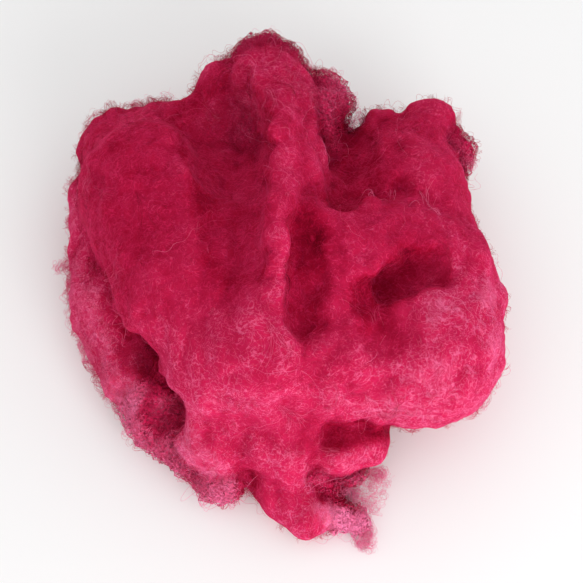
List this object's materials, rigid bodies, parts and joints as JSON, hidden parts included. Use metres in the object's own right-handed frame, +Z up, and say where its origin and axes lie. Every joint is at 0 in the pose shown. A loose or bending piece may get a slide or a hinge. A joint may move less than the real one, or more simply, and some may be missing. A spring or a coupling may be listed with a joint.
{
  "type": "wad of carded wool",
  "caption": "Loose wad of dyed, carded, unspun wool, bunched up and set down, with a soft middle ridge, puffed lobes and a fuzzy edge; stock for spinning, felting or stuffing.",
  "frame": {"origin": "middle of the footprint, on the surface that the wad lies on", "axes": "+Z up, +X to the right and +Y away from whoever looks at the front, where the tail lies"},
  "size_m": [0.1754, 0.1996, 0.0835],
  "materials": {
    "wool": "matt, fuzzy dyed wool fibre with a slight sheen"
  },
  "bodies": {
    "root": {"wool_wad": "wool"}
  },
  "joints": []
}
